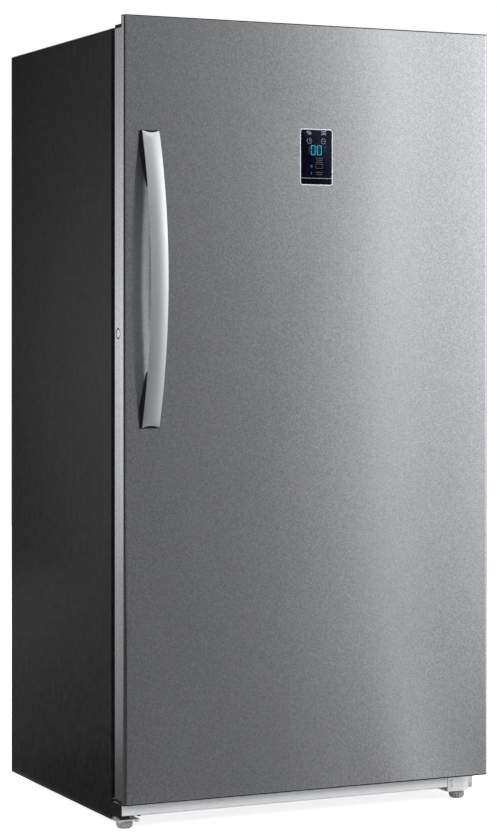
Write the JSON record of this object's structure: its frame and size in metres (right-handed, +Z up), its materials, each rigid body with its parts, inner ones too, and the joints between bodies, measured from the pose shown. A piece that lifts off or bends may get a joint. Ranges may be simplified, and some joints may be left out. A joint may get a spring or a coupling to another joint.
{
  "type": "upright freezer",
  "caption": "Upright freezer: tall dark cabinet with one full-height steel door hinged right, bow handle, door display, edge lock, shelves, basket and levelling feet.",
  "frame": {"origin": "on the floor, under the middle of the overall box, handle included", "axes": "+X to the right seen from the front, +Y towards the back, +Z up; the door faces -Y and is hinged on the +X side"},
  "size_m": [0.832, 0.7209, 1.622],
  "materials": {
    "stainless_face": "satin",
    "handle_steel": "satin",
    "dark_enamel": "satin",
    "rear_steel": "matte",
    "black_plastic": "satin",
    "white_liner": "satin",
    "clear_plastic": "gloss",
    "grey_plastic": "matte",
    "silver_trim": "satin",
    "zinc_steel": "satin",
    "gasket_rubber": "matte",
    "foam": "matte",
    "shelf_glass": "gloss",
    "display_glass": "gloss",
    "circuit_board": "satin",
    "lock_chrome": "polished",
    "aluminium": "satin",
    "black_enamel": "gloss",
    "black_rubber": "matte",
    "frosted_lens": "satin"
  },
  "bodies": {
    "cabinet": {"cabinet_shell": "dark_enamel", "back_panel": "rear_steel", "front_frame": "dark_enamel", "inner_liner": "white_liner", "cabinet_insulation": "foam", "lock_strike": "zinc_steel", "floor_plate": "zinc_steel", "base_frame": "zinc_steel", "kick_plate": "silver_trim", "base_end_cap": "black_plastic", "roller_brackets": "zinc_steel", "bottom_hinge_bracket": "zinc_steel", "top_hinge_bracket": "zinc_steel", "top_hinge_cover": "black_plastic", "hinge_pins": "lock_chrome", "hinge_screws": "zinc_steel", "shelf_glass_1": "shelf_glass", "shelf_glass_2": "shelf_glass", "shelf_glass_3": "shelf_glass", "shelf_frame_1": "white_liner", "shelf_frame_2": "white_liner", "shelf_frame_3": "white_liner", "basket_rails": "white_liner", "lamp_lens": "frosted_lens", "light_switch_housing": "white_liner", "evaporator_cover": "white_liner", "evaporator_coil": "aluminium", "evaporator_fan_motor": "black_plastic", "compressor": "black_enamel", "compressor_mounts": "black_rubber", "condenser": "aluminium", "condenser_fan_motor": "black_plastic", "drain_pan": "black_plastic", "machine_cover": "rear_steel"},
    "door": {"door_skin": "stainless_face", "door_top_cap": "black_plastic", "door_bottom_cap": "black_plastic", "door_insulation": "foam", "door_liner": "white_liner", "door_gasket": "gasket_rubber", "handle_bar": "handle_steel", "handle_mounts": "black_plastic", "display_bezel": "silver_trim", "display_glass": "display_glass", "display_board": "circuit_board", "lock_barrel": "lock_chrome", "door_bin_1": "clear_plastic", "door_bin_2": "clear_plastic", "door_bin_3": "clear_plastic", "door_bin_4": "clear_plastic"},
    "lock": {"lock_cylinder": "lock_chrome", "lock_cam": "zinc_steel"},
    "basket": {"freezer_basket": "white_liner"},
    "light_switch": {"light_switch_plunger": "white_liner"},
    "foot_left": {"levelling_foot_left": "grey_plastic"},
    "foot_right": {"levelling_foot_right": "grey_plastic"},
    "roller_left": {"rear_roller_left": "black_plastic"},
    "roller_right": {"rear_roller_right": "black_plastic"},
    "evaporator_rotor": {"evaporator_fan": "white_liner"},
    "condenser_rotor": {"condenser_fan": "black_plastic"}
  },
  "joints": [
    {"name": "door_hinge", "type": "hinge", "parent": "cabinet", "child": "door", "pos_m": [0.39, -0.2715, 0.8], "axis": [0, 0, 1], "range_deg": [0, 120]},
    {"name": "lock_turn", "type": "hinge", "parent": "door", "child": "lock", "pos_m": [-0.416, -0.2698, 0.99], "axis": [-1, 0, 0], "range_deg": [0, 90]},
    {"name": "basket_slide", "type": "slide", "parent": "cabinet", "child": "basket", "axis": [0, -1, 0], "range_m": [0, 0.18]},
    {"name": "light_switch_press", "type": "slide", "parent": "cabinet", "child": "light_switch", "axis": [0, -1, 0], "range_m": [0, 0.007]},
    {"name": "foot_left_turn", "type": "hinge", "parent": "cabinet", "child": "foot_left", "pos_m": [-0.391, -0.2415, 0.02], "axis": [0, 0, 1], "range_deg": [-720, 720]},
    {"name": "foot_right_turn", "type": "hinge", "parent": "cabinet", "child": "foot_right", "pos_m": [0.373, -0.2415, 0.02], "axis": [0, 0, 1], "range_deg": [-720, 720]},
    {"name": "roller_left_spin", "type": "hinge", "parent": "cabinet", "child": "roller_left", "pos_m": [-0.362, 0.3, 0.015], "axis": [1, 0, 0], "continuous": true},
    {"name": "roller_right_spin", "type": "hinge", "parent": "cabinet", "child": "roller_right", "pos_m": [0.362, 0.3, 0.015], "axis": [1, 0, 0], "continuous": true},
    {"name": "evaporator_fan_spin", "type": "hinge", "parent": "cabinet", "child": "evaporator_rotor", "pos_m": [0, 0.27, 1.3], "axis": [0, 1, 0], "continuous": true},
    {"name": "condenser_fan_spin", "type": "hinge", "parent": "cabinet", "child": "condenser_rotor", "pos_m": [-0.06, 0.258, 0.15], "axis": [1, 0, 0], "continuous": true}
  ],
  "couplings": [
    {"joint": "basket_slide", "follows": "door_hinge", "m_per_rad": 0.0859},
    {"joint": "light_switch_press", "follows": "door_hinge", "m_per_rad": 0.0033}
  ]
}
